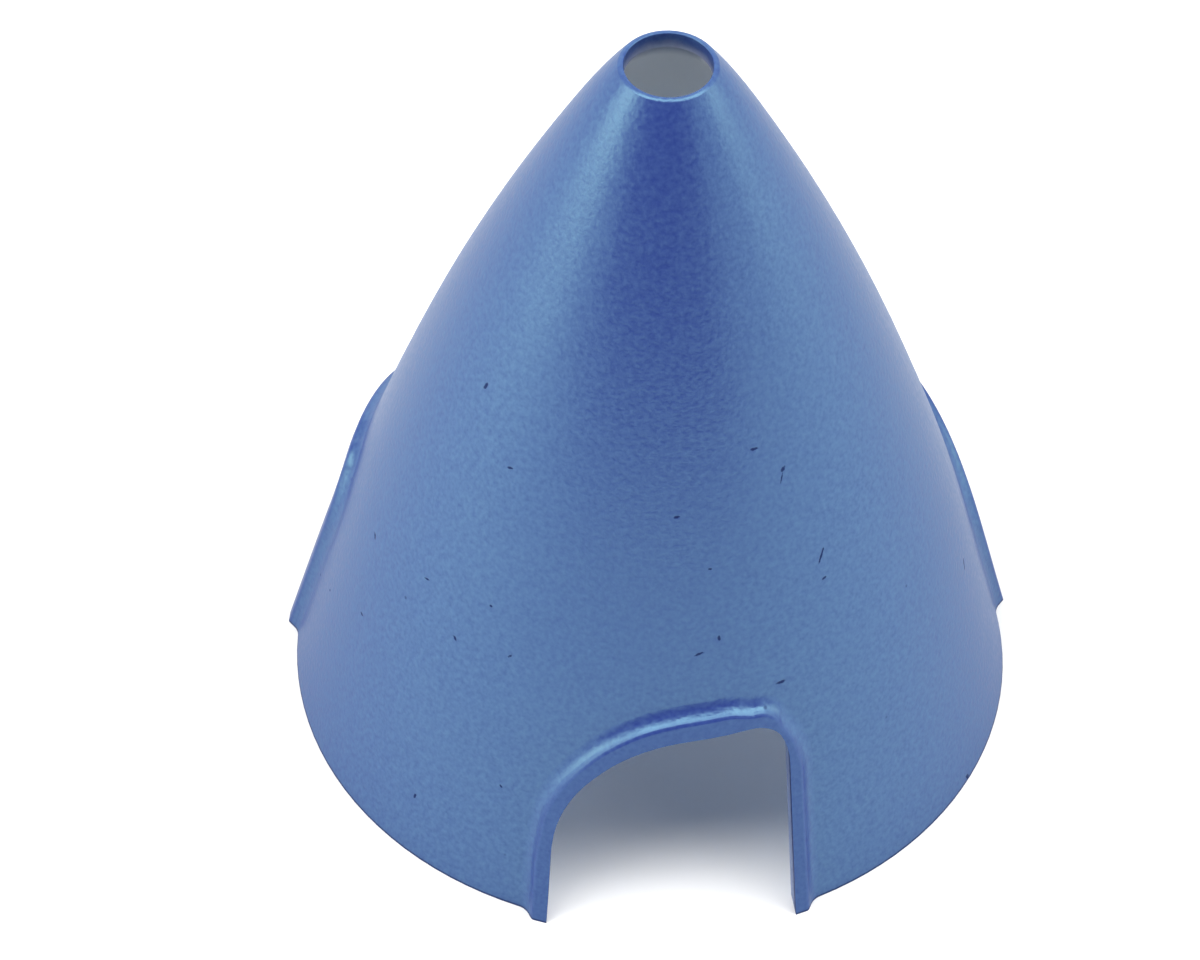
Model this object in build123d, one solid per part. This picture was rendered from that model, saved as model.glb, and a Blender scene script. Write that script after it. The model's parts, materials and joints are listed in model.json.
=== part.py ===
from build123d import *
import math
import os

os.makedirs("parts", exist_ok=True)

# Propeller spinner cone: one thin moulded shell with a round hole in its
# nose and three blade openings, each framed by a raised lip.
# Frame: millimetres, +Z along the spin axis towards the nose, origin on the
# axis in the plane of the open base rim.  One blade opening faces -Y.

# ---------------------------------------------------------------- dimensions
base_diameter = 57.0          # outside, at the base rim, between the lips
cone_height = 66.3            # base rim to the flat end of the nose
wall = 1.1                    # moulded wall, square to the surface
nose_bore_diameter = 6.7      # cylindrical hole in the nose
nose_rim_diameter = 7.4       # outside edge of the flat nose end
nose_round_outer = 0.35       # edge round outside the nose end
nose_round_inner = 0.1        # edge round at the mouth of the bore

# outside profile: (height / cone_height, radius / base radius)
ogive = [
    (0.000, 1.0000),
    (0.150, 0.9150),
    (0.300, 0.8232),
    (0.420, 0.7341),
    (0.540, 0.6357),
    (0.660, 0.5252),
    (0.770, 0.4123),
    (0.860, 0.3120),
    (0.930, 0.2288),
    (0.975, 0.1684),
    (1.000, 0.1312),
]

blades = 3                    # openings, evenly spaced round the axis
# outer edge of an opening, in the plane square to its own direction
# (x to the right seen from outside, z up); the corners with their radii
opening_left = (-9.75, -0.5)              # swept side, at the base rim
opening_shoulder = (-9.12, 11.24, 11.75)  # swept side, lower bend
opening_crown = (-2.73, 17.77, 10.89)     # swept side, upper bend
opening_corner = (8.92, 18.63, 3.1)       # tight corner of the other side
opening_right = (9.86, -0.5)              # other side, at the base rim
opening_draft = 6.6           # the opening widens outwards, degrees

lip_height = 0.86             # how far a lip stands out from the cone
# width of a lip's face and angle between its side and the cone (degrees),
# along the opening's edge: widest above the opening, narrowest at its corner
lip_widths = [
    (-9.2, 1.12),
    (-5.75, 1.10),
    (-4.0, 1.16),
    (-2.2, 1.35),
    (-0.5, 1.43),
    (1.2, 1.50),
    (4.3, 1.50),
    (5.4, 1.36),
    (6.3, 1.12),
    (7.0, 0.93),
    (7.7, 0.83),
    (8.4, 0.86),
    (8.9, 1.00),
    (9.3, 1.02),
]
lip_slopes = [(-9.2, 46.0), (-6.0, 52.0), (7.0, 52.0), (9.1, 44.0)]
lip_root_radius = 1.35        # hollow round where a lip meets the cone
lip_edge_radius = 0.35        # round along a lip's outer edge

# ---------------------------------------------------------------- profile
base_radius = base_diameter / 2
points = [(base_radius * r, cone_height * z) for z, r in ogive]
points[-1] = (nose_rim_diameter / 2, cone_height)
outer_curve = Spline(*[(r, 0, z) for r, z in points])

samples = 160
outer_line = []
normal_line = []
for i in range(samples + 1):
    p = outer_curve.position_at(i / samples)
    t = outer_curve.tangent_at(i / samples)
    outer_line.append((p.X, p.Z))
    normal_line.append((t.Z, -t.X))


def shifted(distance):
    """The outside profile moved along its own normals."""
    return [
        (r + n * distance, z + m * distance)
        for (r, z), (n, m) in zip(outer_line, normal_line)
    ]


def at_height(line, z):
    """Radius of a profile at height z."""
    for (r0, z0), (r1, z1) in zip(line, line[1:]):
        if z0 <= z <= z1:
            return r0 + (r1 - r0) * (z - z0) / (z1 - z0)
    (r0, z0), (r1, z1) = line[:2] if z < line[0][1] else line[-2:]
    return r0 + (r1 - r0) * (z - z0) / (z1 - z0)


def at_radius(line, r):
    """Height of a profile at radius r."""
    for (r0, z0), (r1, z1) in zip(line, line[1:]):
        if r1 <= r <= r0:
            return z0 + (z1 - z0) * (r0 - r) / (r0 - r1)
    raise ValueError("radius outside the profile")


def knots(line, low, high, count):
    """Evenly spaced points of a profile between two heights."""
    heights = [low + (high - low) * i / (count - 1) for i in range(count)]
    return [(at_height(line, z), 0, z) for z in heights]


inner_line = shifted(-wall)

bore_radius = nose_bore_diameter / 2
bore_bottom = at_radius(inner_line, bore_radius)
bore_length = cone_height - bore_bottom

# ---------------------------------------------------------------- shell
inner_points = knots(inner_line, 0, bore_bottom, 15)
inner_curve = Spline(*inner_points)
nose_out = (nose_rim_diameter / 2, 0, cone_height)
nose_in = (bore_radius, 0, cone_height)
section = make_face(
    [
        outer_curve,
        Line(nose_out, nose_in),
        Line(nose_in, inner_points[-1]),
        inner_curve,
        Line(inner_points[0], (base_radius, 0, 0)),
    ]
)
shell = revolve(section, Axis.Z, 360)

# ---------------------------------------------------------------- openings
def outline_points():
    """Outer edge of an opening: (x, z, outward x, outward z), left to right."""
    corners = [
        opening_left,
        opening_shoulder[:2],
        opening_crown[:2],
        opening_corner[:2],
        opening_right,
    ]
    radii = [opening_shoulder[2], opening_crown[2], opening_corner[2]]
    ways = []
    for (x0, z0), (x1, z1) in zip(corners, corners[1:]):
        length = math.hypot(x1 - x0, z1 - z0)
        ways.append(((x1 - x0) / length, (z1 - z0) / length))
    found = []

    def straight(start, end, way, step):
        length = math.hypot(end[0] - start[0], end[1] - start[1])
        count = max(2, round(length / step))
        for i in range(count):
            k = i / count
            found.append(
                (
                    start[0] + (end[0] - start[0]) * k,
                    start[1] + (end[1] - start[1]) * k,
                    -way[1],
                    way[0],
                )
            )

    drop = 3.5                    # run on below the base rim
    wx, wz = ways[0]
    start = (corners[0][0] - wx * drop / wz, corners[0][1] - drop)
    for i, radius in enumerate(radii):
        (ux, uz), (vx, vz) = ways[i], ways[i + 1]
        turn = math.acos(ux * vx + uz * vz)
        back = radius * math.tan(turn / 2)
        cx, cz = corners[i + 1]
        a = (cx - ux * back, cz - uz * back)
        b = (cx + vx * back, cz + vz * back)
        straight(start, a, ways[i], 1.5)
        # centre of the arc lies on the inner side
        ox, oz = a[0] + uz * radius, a[1] - ux * radius
        count = max(4, round(math.degrees(turn) / 9))
        for j in range(count):
            k = turn * j / count
            nx = -uz * math.cos(k) + ux * math.sin(k)
            nz = ux * math.cos(k) + uz * math.sin(k)
            found.append((ox + nx * radius, oz + nz * radius, nx, nz))
        start = b
    wx, wz = ways[-1]
    end = (corners[-1][0] - wx * drop / wz, corners[-1][1] - drop)
    straight(start, end, ways[-1], 1.5)
    found.append((end[0], end[1], -wz, wx))
    return found


lip_line = shifted(lip_height)
opening_edge = outline_points()


def on_lip(x, z):
    """Depth y of the lip's face at (x, z), and its outward normal."""
    r = at_height(lip_line, z)
    dr = (at_height(lip_line, z + 0.3) - at_height(lip_line, z - 0.3)) / 0.6
    y = -math.sqrt(r * r - x * x)
    length = math.hypot(1.0, dr)
    return y, (x / r / length, y / r / length, -dr / length)


def table(rows, x):
    """Value of a table at x, smoothed over a millimetre to either side."""
    total = 0.0
    for step in range(-5, 6):
        u = min(max(x + step / 5, rows[0][0]), rows[-1][0])
        for (x0, v0), (x1, v1) in zip(rows, rows[1:]):
            if u <= x1:
                total += v0 + (v1 - v0) * (u - x0) / (x1 - x0)
                break
    return total / 11


def ring(y, grow):
    """Closed outline in the plane at y; grow gives the local growth."""
    spots = []
    for x, z, nx, nz in opening_edge:
        g = grow(x, z, nx, nz, y)
        spots.append((x + nx * g, y, z + nz * g))
    return make_face([Spline(*spots), Line(spots[-1], spots[0])])


def lip_growth(x, z, nx, nz, y):
    """Growth that gives a lip its face and an even slope to its side."""
    face = table(lip_widths, x)
    slope = table(lip_slopes, x)
    face_y, n = on_lip(x + nx * face, z + nz * face)
    lean = math.radians(90 - slope) - math.atan2(n[0] * nx + n[2] * nz, -n[1])
    return face + (y - face_y) * math.tan(lean)


def cut_growth(x, z, nx, nz, y):
    """Growth that makes the opening widen outwards."""
    face_y, _ = on_lip(x, z)
    return (face_y - y) * math.tan(math.radians(opening_draft))


# lips: a drafted prism along the opening's direction, trimmed to the cone's
# own shape a little way out, so each lip follows the cone all the way round
prism = loft([ring(-17.5, lip_growth), ring(-31.5, lip_growth)], ruled=True)
envelope_points = knots(lip_line, 0, 30, 10)
envelope_curve = Spline(*envelope_points)
body_points = knots(shifted(-wall / 2), 0, 30, 10)
body_curve = Spline(*body_points)
envelope = revolve(
    make_face(
        [
            envelope_curve,
            Line(envelope_points[-1], body_points[-1]),
            body_curve,
            Line(body_points[0], envelope_points[0]),
        ]
    ),
    Axis.Z,
    360,
)
lip = prism & envelope

cone = shell
for k in range(blades):
    cone = cone + lip.rotate(Axis.Z, 360 / blades * k)
cone = cone.clean()


def picked(shape, line, low, high):
    """Edges that lie on a profile's surface between two heights."""
    chosen = []
    for edge in shape.edges():
        places = [edge.position_at(u) for u in (0.1, 0.3, 0.5, 0.7, 0.9)]
        gaps = [
            abs(math.hypot(p.X, p.Y) - at_height(line, p.Z)) for p in places
        ]
        spread = max(p.Z for p in places) - min(p.Z for p in places)
        level = sum(p.Z for p in places) / len(places)
        if max(gaps) < 0.03 and low < level < high:
            if level > 0.05 or spread > 0.05:
                chosen.append(edge)
    return chosen


roots = picked(cone, outer_line, 0.2, 25)
cone = fillet(roots, lip_root_radius)
rims = picked(cone, lip_line, 0.2, 25)
cone = fillet(rims, lip_edge_radius)


def nose_edges(shape, radius):
    """Round edges of the flat nose end at a given radius."""
    chosen = []
    for edge in shape.edges():
        places = [edge.position_at(u) for u in (0.1, 0.4, 0.8)]
        if all(
            abs(p.Z - cone_height) < 1e-3
            and abs(math.hypot(p.X, p.Y) - radius) < 1e-2
            for p in places
        ):
            chosen.append(edge)
    return chosen


cone = fillet(nose_edges(cone, nose_rim_diameter / 2), nose_round_outer)
cone = fillet(nose_edges(cone, bore_radius), nose_round_inner)

# the blade openings go straight through wall and lip
cutter = loft([ring(-12.0, cut_growth), ring(-33.0, cut_growth)], ruled=True)
for k in range(blades):
    cone = cone - cutter.rotate(Axis.Z, 360 / blades * k)

solids = cone.solids()
print("solids", len(solids), "roots", len(roots), "rims", len(rims))
spinner_cone = solids[0]
print("bore length", round(bore_length, 3), "from z", round(bore_bottom, 3))
print("volume mm3", round(spinner_cone.volume, 1))
print("box", spinner_cone.bounding_box())

export_step(spinner_cone, "parts/spinner_cone.step")
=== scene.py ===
import json
import math

import bpy
from mathutils import Matrix, Vector

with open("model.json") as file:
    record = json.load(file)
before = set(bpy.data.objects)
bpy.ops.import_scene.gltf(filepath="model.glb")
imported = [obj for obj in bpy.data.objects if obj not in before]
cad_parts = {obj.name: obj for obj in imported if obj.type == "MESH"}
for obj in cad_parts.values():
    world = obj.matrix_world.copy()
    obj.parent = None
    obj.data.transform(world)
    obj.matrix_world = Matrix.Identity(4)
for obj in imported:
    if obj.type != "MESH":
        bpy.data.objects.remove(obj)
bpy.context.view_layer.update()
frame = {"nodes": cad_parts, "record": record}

record = frame["record"]
cone = frame["nodes"]["spinner_cone"]

# ------------------------------------------------------------------ sizes
R = 0.0285          # outside radius at the base rim
H = 0.0663          # height
MM = 0.001


# outside profile: (height / H, radius / R)
PROFILE = [
    (0.000, 1.0000), (0.050, 0.9718), (0.100, 0.9435), (0.150, 0.9150), (0.200, 0.8860),
    (0.250, 0.8558), (0.300, 0.8232), (0.350, 0.7877), (0.400, 0.7497), (0.450, 0.7103),
    (0.500, 0.6696), (0.550, 0.6270), (0.600, 0.5821), (0.650, 0.5349), (0.700, 0.4854),
    (0.750, 0.4337), (0.800, 0.3795), (0.850, 0.3234), (0.900, 0.2655), (0.950, 0.2029),
    (1.000, 0.1298),
]

# small chips and scuffs in the paint, millimetres on the part:
# place, direction, half length, half width, strength
MARKS = [
    ((11.46, -16.66, 29.86), (-0.28, -0.54, -0.79), 0.95, 0.10, 0.85),
    ((8.37, -21.57, 20.97), (-0.94, -0.34, -0.04), 0.39, 0.13, 0.98),
    ((-13.76, -8.35, 41.00), (-0.47, 0.04, -0.88), 0.31, 0.16, 1.00),
    ((-22.23, -5.84, 21.47), (0.00, -0.78, -0.62), 0.30, 0.12, 1.00),
    ((6.11, -15.11, 40.50), (-0.92, -0.40, 0.05), 0.31, 0.12, 1.00),
    ((24.20, -5.12, 15.28), (0.12, -0.52, -0.85), 0.45, 0.12, 0.91),
    ((8.38, -15.06, 38.10), (-0.47, -0.55, -0.69), 0.27, 0.16, 0.87),
    ((-19.64, -18.82, 5.30), (-0.22, -0.08, -0.97), 0.28, 0.12, 1.00),
    ((-18.42, -12.49, 23.80), (-0.61, 0.75, -0.26), 0.42, 0.11, 0.45),
    ((-16.41, -16.24, 21.10), (0.47, -0.68, -0.57), 0.26, 0.13, 0.87),
    ((0.24, -17.94, 36.24), (-0.95, -0.10, -0.31), 0.26, 0.13, 0.71),
    ((1.96, -21.82, 24.85), (-0.94, -0.18, -0.30), 0.45, 0.12, 0.56),
    ((-12.12, -12.96, 36.78), (-0.77, 0.56, -0.31), 0.38, 0.12, 0.60),
    ((11.72, -17.26, 27.99), (-0.77, -0.61, -0.20), 0.24, 0.12, 0.76),
    ((-23.38, -8.25, 15.04), (0.34, -0.94, 0.02), 0.28, 0.12, 0.67),
    ((-13.08, -22.39, 10.52), (0.62, -0.51, -0.60), 0.22, 0.13, 0.56),
    ((-12.31, -19.15, 22.17), (-0.64, 0.17, -0.75), 0.31, 0.13, 0.47),
    ((3.49, -21.25, 25.99), (0.05, -0.31, -0.95), 0.23, 0.12, 0.84),
    ((2.76, -19.36, 31.82), (-0.98, -0.10, 0.18), 0.20, 0.13, 0.49),
    ((-13.68, -16.86, 25.44), (-0.78, 0.62, -0.02), 0.22, 0.13, 0.47),
    ((8.28, -15.38, 37.50), (-0.18, -0.47, -0.86), 0.80, 0.08, 0.55),
    ((-26.45, 2.04, 8.10), (-0.03, -1.00, 0.00), 0.16, 0.12, 0.70),
    ((-25.76, -2.06, 10.87), (0.14, -0.94, 0.31), 0.20, 0.12, 0.60),
    ((24.45, -14.50, 0.30), (0.20, 0.30, -0.93), 0.30, 0.22, 1.00),
]


# ------------------------------------------------------------------ camera
def make_camera():
    """The photograph's own camera: long lens, looking down at the cone."""
    distance, elevation, azimuth = 20.0 * R, math.radians(49.3), math.radians(-4.7)
    pan, tilt, roll = math.radians(-0.45), math.radians(1.37), math.radians(1.82)
    place = distance * Vector((
        math.cos(elevation) * math.sin(azimuth),
        -math.cos(elevation) * math.cos(azimuth),
        math.sin(elevation),
    ))
    forward = -place.normalized()
    right = Vector((math.cos(azimuth), math.sin(azimuth), 0.0))
    up = right.cross(forward)
    f2 = forward * math.cos(tilt) + up * math.sin(tilt)
    u2 = right.cross(f2)
    f3 = f2 * math.cos(pan) + right * math.sin(pan)
    r3 = f3.cross(u2)
    r4 = r3 * math.cos(roll) + u2 * math.sin(roll)
    u4 = -r3 * math.sin(roll) + u2 * math.cos(roll)
    data = bpy.data.cameras.new("camera")
    data.sensor_fit = "HORIZONTAL"
    data.sensor_width = 36.0
    data.lens = 7052.4 * 36.0 / 1200.0
    data.clip_start, data.clip_end = 0.01, 50.0
    cam = bpy.data.objects.new("camera", data)
    bpy.context.scene.collection.objects.link(cam)
    cam.matrix_world = Matrix((
        (r4.x, u4.x, -f3.x, place.x),
        (r4.y, u4.y, -f3.y, place.y),
        (r4.z, u4.z, -f3.z, place.z),
        (0, 0, 0, 1),
    ))
    bpy.context.scene.camera = cam
    return cam


camera = make_camera()


# ------------------------------------------------------------------ helpers
class Nodes:
    """Short names for building a node tree."""

    def __init__(self, tree):
        self.tree = tree
        self.tree.nodes.clear()

    def new(self, kind, **settings):
        n = self.tree.nodes.new(kind)
        for k, v in settings.items():
            setattr(n, k, v)
        return n

    def link(self, a, b):
        self.tree.links.new(a, b)

    def put(self, value, socket):
        if hasattr(value, "is_linked") or hasattr(value, "links"):
            self.link(value, socket)
        else:
            socket.default_value = value

    def math(self, op, a, b=0.0, c=0.0, clamp=False):
        n = self.new("ShaderNodeMath", operation=op, use_clamp=clamp)
        for s, v in zip(n.inputs, (a, b, c)):
            self.put(v, s)
        return n.outputs[0]

    def vmath(self, op, a, b=(0, 0, 0), out=0):
        n = self.new("ShaderNodeVectorMath", operation=op)
        self.put(a, n.inputs[0])
        self.put(b, n.inputs[1])
        return n.outputs[out]

    def remap(self, v, a, b, c=0.0, d=1.0, smooth=True):
        n = self.new("ShaderNodeMapRange")
        n.interpolation_type = "SMOOTHSTEP" if smooth else "LINEAR"
        n.clamp = True
        self.put(v, n.inputs["Value"])
        n.inputs["From Min"].default_value = a
        n.inputs["From Max"].default_value = b
        n.inputs["To Min"].default_value = c
        n.inputs["To Max"].default_value = d
        return n.outputs[0]

    def mix(self, fac, a, b):
        n = self.new("ShaderNodeMix", data_type="RGBA")
        self.put(fac, n.inputs[0])
        self.put(a, n.inputs[6])
        self.put(b, n.inputs[7])
        return n.outputs[2]

    def noise(self, vec, scale, detail=2.0, rough=0.5, lac=2.0, dist=0.0, kind="FBM"):
        n = self.new("ShaderNodeTexNoise", noise_dimensions="3D", noise_type=kind)
        self.link(vec, n.inputs["Vector"])
        n.inputs["Scale"].default_value = scale
        n.inputs["Detail"].default_value = detail
        n.inputs["Roughness"].default_value = rough
        n.inputs["Lacunarity"].default_value = lac
        n.inputs["Distortion"].default_value = dist
        return n.outputs[0]


# ------------------------------------------------------------------ material
def shell_material():
    """Satin metallic paint outside, bare white plastic inside."""
    m = bpy.data.materials.new("spinner_shell")
    m.use_nodes = True
    g = Nodes(m.node_tree)
    out = g.new("ShaderNodeOutputMaterial")
    coord = g.new("ShaderNodeTexCoord")
    pos = coord.outputs["Object"]
    xyz = g.new("ShaderNodeSeparateXYZ")
    g.link(pos, xyz.inputs[0])
    x, y, z = xyz.outputs

    fine = g.noise(pos, 4200.0, 1.0, 0.6)
    grain = g.noise(pos, 2600.0, 1.0, 0.55)
    patch = g.noise(pos, 620.0, 3.0, 0.55)
    broad = g.noise(pos, 120.0, 2.0, 0.5)
    cloud = g.noise(pos, 60.0, 3.0, 0.6)

    # ---- depth below the painted outside
    level = g.math("DIVIDE", z, H, clamp=True)
    curve = g.new("ShaderNodeFloatCurve")
    line = curve.mapping.curves[0]
    line.points[0].location = PROFILE[0]
    line.points[1].location = PROFILE[-1]
    for p in PROFILE[1:-1]:
        line.points.new(*p)
    curve.mapping.update()
    g.link(level, curve.inputs["Value"])
    skin = g.math("MULTIPLY", curve.outputs[0], R)
    radius = g.math("SQRT", g.math("ADD", g.math("MULTIPLY", x, x), g.math("MULTIPLY", y, y)))
    depth = g.math("SUBTRACT", skin, radius)
    worn = g.math("MULTIPLY_ADD", g.math("SUBTRACT", patch, 0.5), 0.45 * MM, depth)
    painted = g.remap(worn, 0.55 * MM, 1.02 * MM, 1.0, 0.0)
    # on the cut faces of the openings the paint stays near the outer edge
    outward = g.new("ShaderNodeCombineXYZ")
    g.link(x, outward.inputs[0])
    g.link(y, outward.inputs[1])
    g.link(g.math("MULTIPLY", radius, 0.33), outward.inputs[2])
    facing = g.vmath("DOT_PRODUCT", g.vmath("NORMALIZE", outward.outputs[0]), coord.outputs["Normal"], out=1)
    cut = g.math("MULTIPLY", g.remap(facing, 0.40, 0.15), g.remap(facing, -0.75, -0.50))
    rim_paint = g.remap(worn, -0.42 * MM, -0.18 * MM, 1.0, 0.0)
    cut_low = g.math("MULTIPLY", cut, g.remap(z, H - 8 * MM, H - 10 * MM))
    painted = g.math("ADD", g.math("MULTIPLY", painted, g.math("SUBTRACT", 1.0, cut_low)), g.math("MULTIPLY", rim_paint, cut_low))
    # overspray down the wall of the nose hole
    drift = g.math("MULTIPLY_ADD", g.math("SUBTRACT", patch, 0.5), 0.8 * MM, z)
    spray = g.remap(drift, H - 3.6 * MM, H - 0.4 * MM)
    painted = g.math("MAXIMUM", painted, spray)

    # ---- paint: saturated pigment under fine pale metal flake
    speckle = g.math("ADD", g.math("MULTIPLY", fine, 0.15), g.math("MULTIPLY", grain, 0.85))
    tone = g.remap(speckle, 0.0, 1.0, 0.0, 1.0, smooth=False)
    blue = g.mix(tone, (0.0175, 0.0345, 0.194, 1.0), (0.0282, 0.0524, 0.244, 1.0))
    blue = g.mix(g.remap(broad, 0.3, 0.7, 0.0, 0.35), blue, (0.0254, 0.0475, 0.220, 1.0))

    # ---- chips and scuffs
    nearest = None
    for place, way, long_, short, strength in MARKS:
        off = g.vmath("SUBTRACT", pos, tuple(v * MM for v in place))
        along = g.vmath("DOT_PRODUCT", off, way, out=1)
        full = g.vmath("DOT_PRODUCT", off, off, out=1)
        squash = 1.0 - (short / long_) ** 2
        d2 = g.math("SUBTRACT", full, g.math("MULTIPLY", g.math("MULTIPLY", along, along), squash))
        d2 = g.math("MULTIPLY", d2, 1.0 / (short * MM) ** 2 / max(strength, 0.3))
        nearest = d2 if nearest is None else g.math("MINIMUM", nearest, d2)
    ragged = g.math("MULTIPLY_ADD", g.math("SUBTRACT", fine, 0.5), 2.2, nearest)
    mark = g.remap(ragged, 0.25, 1.5, 1.0, 0.0)
    # a sprinkle of finer pin marks all over
    cells = g.new("ShaderNodeTexVoronoi", feature="F1")
    g.link(pos, cells.inputs["Vector"])
    cells.inputs["Scale"].default_value = 700.0
    pick = g.new("ShaderNodeSeparateColor")
    g.link(cells.outputs["Color"], pick.inputs[0])
    rare = g.math("GREATER_THAN", pick.outputs[0], 0.990)
    pin = g.math("MULTIPLY", g.remap(cells.outputs["Distance"], 0.04, 0.15, 0.5, 0.0), rare)
    chips_and_painted_shade = g.math("MAXIMUM", mark, pin)
    # painted shade: the cut faces of the openings, below the nose, are darkened together with the chips
    chips_and_painted_shade = g.math("MAXIMUM", chips_and_painted_shade, g.math("MULTIPLY", cut_low, 0.75))
    # painted contact shadow: a dark line along the base rim where it meets the floor
    chips_and_painted_shade = g.math("MAXIMUM", chips_and_painted_shade, g.remap(z, 0.24 * MM, 0.06 * MM, 0.0, 0.85))
    # chips, the painted shade on the cut faces and the painted contact shadow on the base rim darken the
    # blue
    blue = g.mix(g.math("MULTIPLY", chips_and_painted_shade, 0.4), blue, (0.005, 0.012, 0.060, 1.0))

    height = g.math("ADD", speckle, g.math("MULTIPLY", chips_and_painted_shade, -0.9))
    bump = g.new("ShaderNodeBump")
    bump.inputs["Strength"].default_value = 0.7
    bump.inputs["Distance"].default_value = 0.00004
    g.link(height, bump.inputs["Height"])

    pigment = g.new("ShaderNodeBsdfPrincipled")
    g.link(blue, pigment.inputs["Base Color"])
    pigment.inputs["IOR"].default_value = 1.42
    pigment.inputs["Specular IOR Level"].default_value = 0.12
    g.link(g.remap(grain, 0.3, 0.7, 0.34, 0.46, smooth=False), pigment.inputs["Roughness"])
    g.link(bump.outputs[0], pigment.inputs["Normal"])

    flake = g.new("ShaderNodeBsdfPrincipled")
    flake.inputs["Base Color"].default_value = (0.38, 0.78, 0.81, 1.0)
    flake.inputs["Metallic"].default_value = 1.0
    flake.inputs["Specular Tint"].default_value = (1.0, 0.94, 0.72, 1.0)
    g.link(g.remap(grain, 0.3, 0.7, 0.28, 0.39, smooth=False), flake.inputs["Roughness"])
    g.link(bump.outputs[0], flake.inputs["Normal"])

    share = g.remap(speckle, 0.0, 1.0, 0.062, 0.178, smooth=False)
    # the outer faces of the raised lips get less flake than their ramps, so they read darker
    raised = g.remap(depth, -0.84 * MM, -0.50 * MM, 0.62, 1.0)
    share = g.math("MULTIPLY", share, raised)
    share = g.math("MULTIPLY", share, g.math("SUBTRACT", 1.0, g.math("MULTIPLY", chips_and_painted_shade, 0.8)))
    paint = g.new("ShaderNodeMixShader")
    g.link(share, paint.inputs[0])
    g.link(pigment.outputs[0], paint.inputs[1])
    g.link(flake.outputs[0], paint.inputs[2])

    # chips reach down to a dull dark ground; the painted shade on the cut faces and the painted contact
    # shadow along the base rim use it too
    chip_and_shade_ground = g.new("ShaderNodeBsdfPrincipled")
    chip_and_shade_ground.inputs["Base Color"].default_value = (0.010, 0.018, 0.060, 1.0)
    chip_and_shade_ground.inputs["Roughness"].default_value = 0.9
    chip_and_shade_ground.inputs["Specular IOR Level"].default_value = 0.0
    coat = g.new("ShaderNodeMixShader")
    g.link(g.math("MULTIPLY", chips_and_painted_shade, 0.6), coat.inputs[0])
    g.link(paint.outputs[0], coat.inputs[1])
    g.link(chip_and_shade_ground.outputs[0], coat.inputs[2])

    # ---- bare plastic inside, painted darker and bluer lower down: painted shade and painted blue light that comes through the painted shell
    bare_bump = g.new("ShaderNodeBump")
    bare_bump.inputs["Strength"].default_value = 0.25
    bare_bump.inputs["Distance"].default_value = 0.00005
    g.link(patch, bare_bump.inputs["Height"])
    bare = g.new("ShaderNodeBsdfPrincipled")
    # painted blue light and shade: the bare plastic turns darker and bluer from 50 mm down to 18 mm
    painted_blue_light = g.math("MULTIPLY_ADD", g.math("SUBTRACT", cloud, 0.5), 16.0 * MM, z)
    painted_blue_light = g.remap(painted_blue_light, 50.0 * MM, 18.0 * MM)
    plastic_and_painted_light = g.mix(painted_blue_light, (0.90, 0.93, 0.94, 1.0), (0.46, 0.62, 0.90, 1.0))
    # paint dust on the cut faces, thinner towards the inside, laid on dark; the dark colour is partly
    # painted shade on these faces
    dust_and_painted_shade = g.math("MULTIPLY", cut_low, g.remap(worn, 1.0 * MM, -0.3 * MM, 0.80, 0.95))
    g.link(g.mix(dust_and_painted_shade, plastic_and_painted_light, (0.085, 0.115, 0.25, 1.0)), bare.inputs["Base Color"])
    g.link(g.remap(grain, 0.3, 0.7, 0.42, 0.58, smooth=False), bare.inputs["Roughness"])
    g.link(bare_bump.outputs[0], bare.inputs["Normal"])

    blend = g.new("ShaderNodeMixShader")
    g.link(painted, blend.inputs[0])
    g.link(bare.outputs[0], blend.inputs[1])
    g.link(coat.outputs[0], blend.inputs[2])
    g.link(blend.outputs[0], out.inputs[0])
    return m


shell = shell_material()
for s in cone.material_slots:
    s.material = shell


# ------------------------------------------------------------------ stage
def plane(name, corners):
    me = bpy.data.meshes.new(name)
    me.from_pydata(corners, [], [tuple(range(len(corners)))])
    me.update()
    ob = bpy.data.objects.new(name, me)
    bpy.context.scene.collection.objects.link(ob)
    return ob


floor = plane("floor", [(-6, -6, 0), (6, -6, 0), (6, 6, 0), (-6, 6, 0)])
fm = bpy.data.materials.new("floor_white")
fm.use_nodes = True
p = fm.node_tree.nodes["Principled BSDF"]
p.inputs["Base Color"].default_value = (0.86, 0.86, 0.86, 1)
p.inputs["Roughness"].default_value = 0.6
p.inputs["Specular IOR Level"].default_value = 0.2
floor.data.materials.append(fm)

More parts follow.
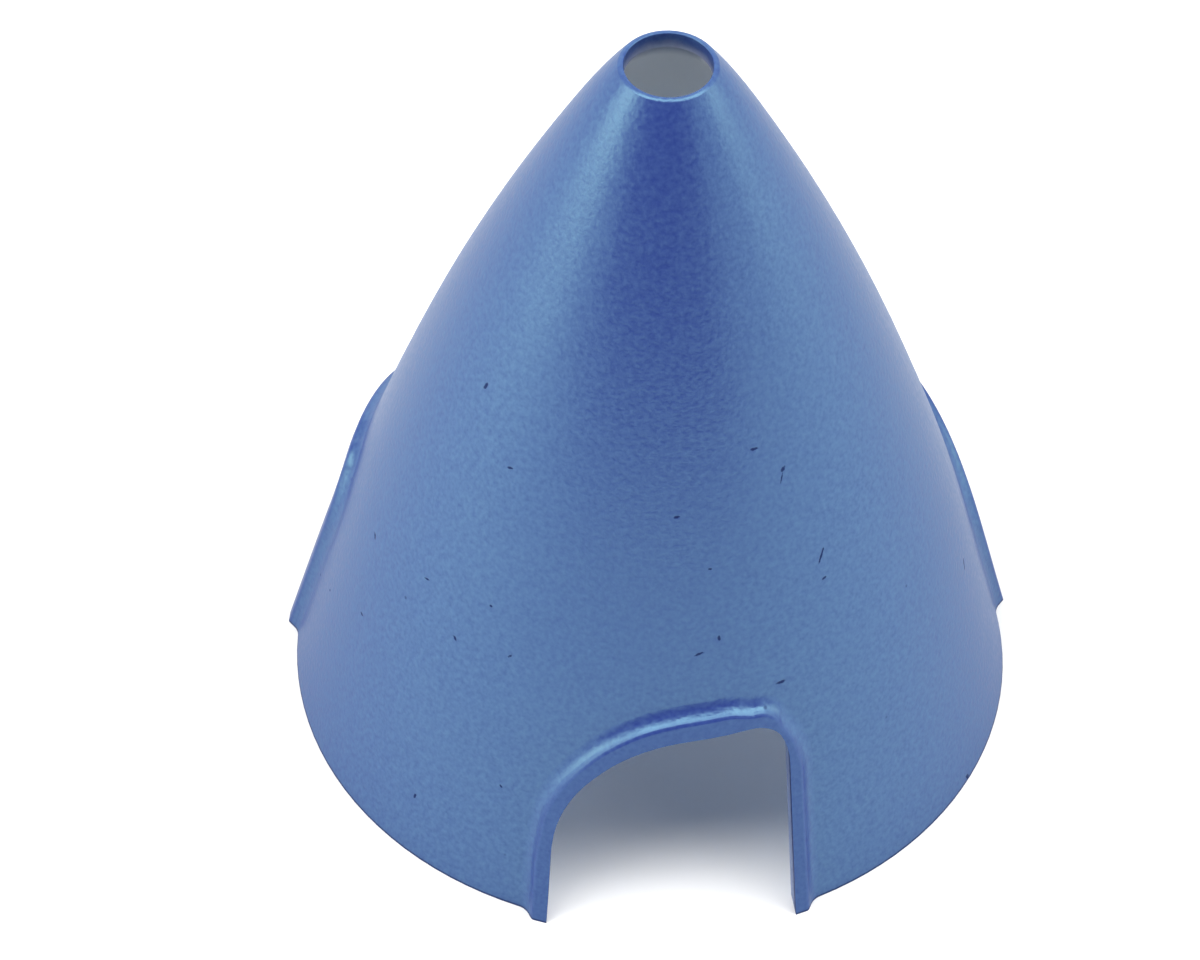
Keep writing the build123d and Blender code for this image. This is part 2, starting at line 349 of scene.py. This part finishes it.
# the dark open front of the light tent, seen only in reflections
card = plane("tent_front", [(-1.02, -1.0, 0.0), (0.64, -1.0, 0.0), (1.40, -1.0, 3.2), (-1.90, -1.0, 3.2)])
cm = bpy.data.materials.new("card_black")
cm.use_nodes = True
p = cm.node_tree.nodes["Principled BSDF"]
p.inputs["Base Color"].default_value = (0.01, 0.01, 0.012, 1)
p.inputs["Roughness"].default_value = 1.0
card.data.materials.append(cm)
card.visible_camera = False
card.visible_shadow = True

world = bpy.data.worlds.new("studio")
bpy.context.scene.world = world
world.use_nodes = True
w = Nodes(world.node_tree)
wout = w.new("ShaderNodeOutputWorld")
bg = w.new("ShaderNodeBackground")
bg.inputs[0].default_value = (1, 1, 1, 1)
bg.inputs[1].default_value = 0.88
w.link(bg.outputs[0], wout.inputs[0])


def area(name, place, target, size, power, colour=(1, 1, 1)):
    d = bpy.data.lights.new(name, "AREA")
    d.shape = "RECTANGLE"
    d.size, d.size_y = size
    d.energy = power
    d.color = colour
    o = bpy.data.objects.new(name, d)
    o.location = place
    o.rotation_mode = "QUATERNION"
    o.rotation_quaternion = (Vector(target) - Vector(place)).to_track_quat("-Z", "Y")
    bpy.context.scene.collection.objects.link(o)
    o.visible_camera = False
    return o


area("softbox_top_left", (-0.72, -0.24, 1.1), (-0.72, -0.24, 0), (0.90, 0.50), 8.0)
area("softbox_top", (0.0, -0.26, 1.1), (0, -0.26, 0), (0.75, 0.40), 4.6)
area("softbox_top_right", (0.75, -0.14, 1.1), (0.75, -0.14, 0), (0.75, 0.64), 7.6)
area("softbox_left", (-1.1, -0.12, 0.5), (0, -0.12, 0.5), (0.6, 0.9), 6.2, (1.0, 0.95, 0.82))
area("softbox_right", (1.1, -0.05, 0.5), (0, -0.05, 0.5), (0.6, 0.9), 3.8, (1.0, 0.95, 0.80))
area("softbox_back", (0.0, 1.1, 0.5), (0, 0, 0.5), (1.6, 0.9), 4.2)

scene = bpy.context.scene
scene.view_settings.view_transform = "Standard"
scene.view_settings.look = "None"
scene.view_settings.exposure = 0.0
scene.view_settings.gamma = 1.0
